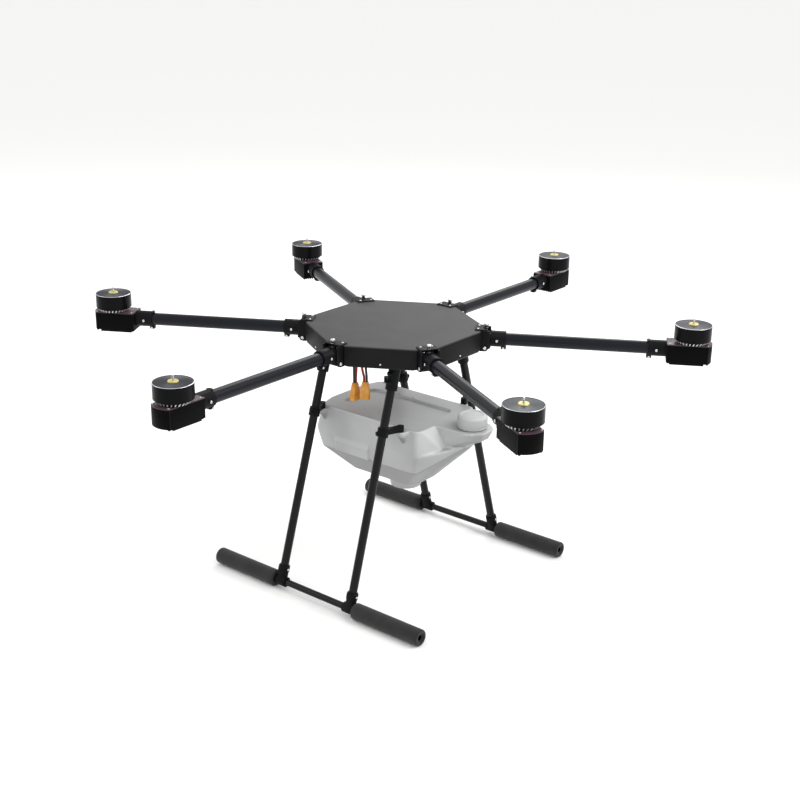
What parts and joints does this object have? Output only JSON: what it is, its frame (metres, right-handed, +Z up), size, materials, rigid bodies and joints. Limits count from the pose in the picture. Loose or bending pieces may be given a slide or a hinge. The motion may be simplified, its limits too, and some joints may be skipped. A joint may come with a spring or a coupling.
{
  "type": "agricultural spray drone",
  "caption": "Multirotor crop-spraying drone with folding arms, motors in end pods, a liquid tank under the hub and a skid landing gear.",
  "frame": {"origin": "on the ground under the hub's centre, level with the underside of the foam sleeves", "axes": "+X to the front, over the tank's filler cap; +Y to the drone's left; +Z up"},
  "size_m": [1.3052, 1.4928, 0.6804],
  "materials": {
    "cover_shell": "satin black powder coat",
    "carbon_plate": "woven carbon plate",
    "carbon_tube": "woven carbon tube, satin lacquer",
    "black_alloy": "black anodised",
    "pod_shell": "black, fine texture",
    "bell_alloy": "black anodised, turned top",
    "copper_winding": "enamelled copper",
    "screw_steel": "zinc plated",
    "gear_tube": "black carbon tube",
    "foam": "closed-cell foam",
    "tank_plastic": "translucent natural polyethylene",
    "board": "solder mask",
    "controller_case": "moulded",
    "plug_plastic": "moulded nylon",
    "lead_red": "silicone sleeve",
    "lead_black": "silicone sleeve"
  },
  "bodies": {
    "frame": {"hub_floor": "carbon_plate", "hub_cover": "cover_shell", "corner_forks": "black_alloy", "latch_plates": "black_alloy", "pivot_screws": "screw_steel", "hub_screws": "screw_steel", "power_board": "board", "flight_controller": "controller_case", "leg_sockets": "black_alloy", "legs": "gear_tube", "skid_joints": "black_alloy", "skids": "gear_tube", "foam_sleeves": "foam", "tank": "tank_plastic", "tank_sump": "tank_plastic", "tank_clamps": "black_alloy", "gear_screws": "screw_steel", "plug_lead_red_1": "lead_red", "plug_lead_black_1": "lead_black", "plug_lead_red_2": "lead_red", "plug_lead_black_2": "lead_black", "battery_plug_1": "plug_plastic", "battery_plug_2": "plug_plastic"},
    "cap": {"tank_cap": "tank_plastic"},
    "arm_1": {"arm_root_1": "black_alloy", "arm_tube_1": "carbon_tube", "motor_pod_1": "pod_shell", "motor_stator_1": "copper_winding"},
    "rotor_1": {"motor_rotor_1": "bell_alloy"},
    "latch_1": {"latch_bolt_1": "black_alloy"},
    "arm_2": {"arm_root_2": "black_alloy", "arm_tube_2": "carbon_tube", "motor_pod_2": "pod_shell", "motor_stator_2": "copper_winding"},
    "rotor_2": {"motor_rotor_2": "bell_alloy"},
    "latch_2": {"latch_bolt_2": "black_alloy"},
    "arm_3": {"arm_root_3": "black_alloy", "arm_tube_3": "carbon_tube", "motor_pod_3": "pod_shell", "motor_stator_3": "copper_winding"},
    "rotor_3": {"motor_rotor_3": "bell_alloy"},
    "latch_3": {"latch_bolt_3": "black_alloy"},
    "arm_4": {"arm_root_4": "black_alloy", "arm_tube_4": "carbon_tube", "motor_pod_4": "pod_shell", "motor_stator_4": "copper_winding"},
    "rotor_4": {"motor_rotor_4": "bell_alloy"},
    "latch_4": {"latch_bolt_4": "black_alloy"},
    "arm_5": {"arm_root_5": "black_alloy", "arm_tube_5": "carbon_tube", "motor_pod_5": "pod_shell", "motor_stator_5": "copper_winding"},
    "rotor_5": {"motor_rotor_5": "bell_alloy"},
    "latch_5": {"latch_bolt_5": "black_alloy"},
    "arm_6": {"arm_root_6": "black_alloy", "arm_tube_6": "carbon_tube", "motor_pod_6": "pod_shell", "motor_stator_6": "copper_winding"},
    "rotor_6": {"motor_rotor_6": "bell_alloy"},
    "latch_6": {"latch_bolt_6": "black_alloy"}
  },
  "joints": [
    {"name": "arm_fold_1", "type": "hinge", "parent": "frame", "child": "arm_1", "pos_m": [0.19053, 0.11, 0.587], "axis": [-0.5, 0.866, 0], "range_deg": [0, 90]},
    {"name": "rotor_spin_1", "type": "hinge", "parent": "arm_1", "child": "rotor_1", "pos_m": [0.60622, 0.35, 0.65], "axis": [0, 0, 1], "continuous": true},
    {"name": "latch_swing_1", "type": "hinge", "parent": "arm_1", "child": "latch_1", "pos_m": [0.19139, 0.1105, 0.622], "axis": [-0.5, 0.866, 0], "range_deg": [0, 40]},
    {"name": "arm_fold_2", "type": "hinge", "parent": "frame", "child": "arm_2", "pos_m": [0, 0.22, 0.587], "axis": [-1, 0, 0], "range_deg": [0, 90]},
    {"name": "rotor_spin_2", "type": "hinge", "parent": "arm_2", "child": "rotor_2", "pos_m": [0, 0.7, 0.65], "axis": [0, 0, 1], "continuous": true},
    {"name": "latch_swing_2", "type": "hinge", "parent": "arm_2", "child": "latch_2", "pos_m": [0, 0.221, 0.622], "axis": [-1, 0, 0], "range_deg": [0, 40]},
    {"name": "arm_fold_3", "type": "hinge", "parent": "frame", "child": "arm_3", "pos_m": [-0.19053, 0.11, 0.587], "axis": [-0.5, -0.866, 0], "range_deg": [0, 90]},
    {"name": "rotor_spin_3", "type": "hinge", "parent": "arm_3", "child": "rotor_3", "pos_m": [-0.60622, 0.35, 0.65], "axis": [0, 0, 1], "continuous": true},
    {"name": "latch_swing_3", "type": "hinge", "parent": "arm_3", "child": "latch_3", "pos_m": [-0.19139, 0.1105, 0.622], "axis": [-0.5, -0.866, 0], "range_deg": [0, 40]},
    {"name": "arm_fold_4", "type": "hinge", "parent": "frame", "child": "arm_4", "pos_m": [-0.19053, -0.11, 0.587], "axis": [0.5, -0.866, 0], "range_deg": [0, 90]},
    {"name": "rotor_spin_4", "type": "hinge", "parent": "arm_4", "child": "rotor_4", "pos_m": [-0.60622, -0.35, 0.65], "axis": [0, 0, 1], "continuous": true},
    {"name": "latch_swing_4", "type": "hinge", "parent": "arm_4", "child": "latch_4", "pos_m": [-0.19139, -0.1105, 0.622], "axis": [0.5, -0.866, 0], "range_deg": [0, 40]},
    {"name": "arm_fold_5", "type": "hinge", "parent": "frame", "child": "arm_5", "pos_m": [0, -0.22, 0.587], "axis": [1, 0, 0], "range_deg": [0, 90]},
    {"name": "rotor_spin_5", "type": "hinge", "parent": "arm_5", "child": "rotor_5", "pos_m": [0, -0.7, 0.65], "axis": [0, 0, 1], "continuous": true},
    {"name": "latch_swing_5", "type": "hinge", "parent": "arm_5", "child": "latch_5", "pos_m": [0, -0.221, 0.622], "axis": [1, 0, 0], "range_deg": [0, 40]},
    {"name": "arm_fold_6", "type": "hinge", "parent": "frame", "child": "arm_6", "pos_m": [0.19053, -0.11, 0.587], "axis": [0.5, 0.866, 0], "range_deg": [0, 90]},
    {"name": "rotor_spin_6", "type": "hinge", "parent": "arm_6", "child": "rotor_6", "pos_m": [0.60622, -0.35, 0.65], "axis": [0, 0, 1], "continuous": true},
    {"name": "latch_swing_6", "type": "hinge", "parent": "arm_6", "child": "latch_6", "pos_m": [0.19139, -0.1105, 0.622], "axis": [0.5, 0.866, 0], "range_deg": [0, 40]},
    {"name": "cap_lift", "type": "slide", "parent": "frame", "child": "cap", "axis": [0, 0, 1], "range_m": [0, 0.05]}
  ]
}
